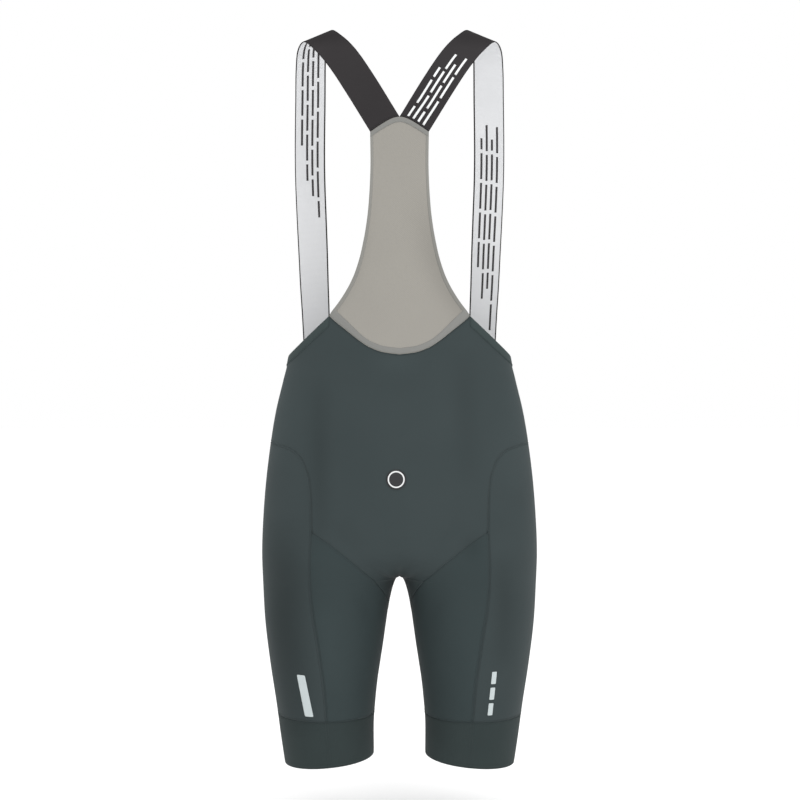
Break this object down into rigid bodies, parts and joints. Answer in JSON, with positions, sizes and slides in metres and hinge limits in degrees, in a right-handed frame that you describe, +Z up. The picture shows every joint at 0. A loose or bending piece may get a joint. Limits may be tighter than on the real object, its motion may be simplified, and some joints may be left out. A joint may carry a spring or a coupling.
{
  "type": "cycling bib shorts",
  "caption": "Worn-form cycling bib shorts: panelled stretch shorts with leg bands, a mesh back panel and wide elastic shoulder straps.",
  "frame": {"origin": "midway between the undersides of the two shoulder straps, at the height where they pass over the shoulders", "axes": "+Z up; -Y towards the wearer's back; +X towards the wearer's right side, which is the right of the back view"},
  "size_m": [0.348, 0.2235, 0.926],
  "materials": {
    "body_knit": "smooth matt stretch knit, dark green",
    "side_knit": "compressive stretch knit, dark green, a faint sheen",
    "leg_band": "dense matt elastic band, darker green",
    "back_mesh": "fine grey open mesh with denser edges",
    "strap_elastic": "woven elastic, near black outside and white inside, with a broken stripe",
    "badge_rubber": "thin satin rubber",
    "reflective_film": "thin pale grey reflective film"
  },
  "bodies": {
    "root": {"back_panel": "body_knit", "front_panel": "body_knit", "side_panel_left": "side_knit", "side_panel_right": "side_knit", "thigh_panel_left": "body_knit", "thigh_panel_right": "body_knit", "leg_band_left": "leg_band", "leg_band_right": "leg_band", "mesh_panel": "back_mesh", "strap_left": "strap_elastic", "strap_right": "strap_elastic", "back_badge": "badge_rubber"}
  },
  "joints": []
}
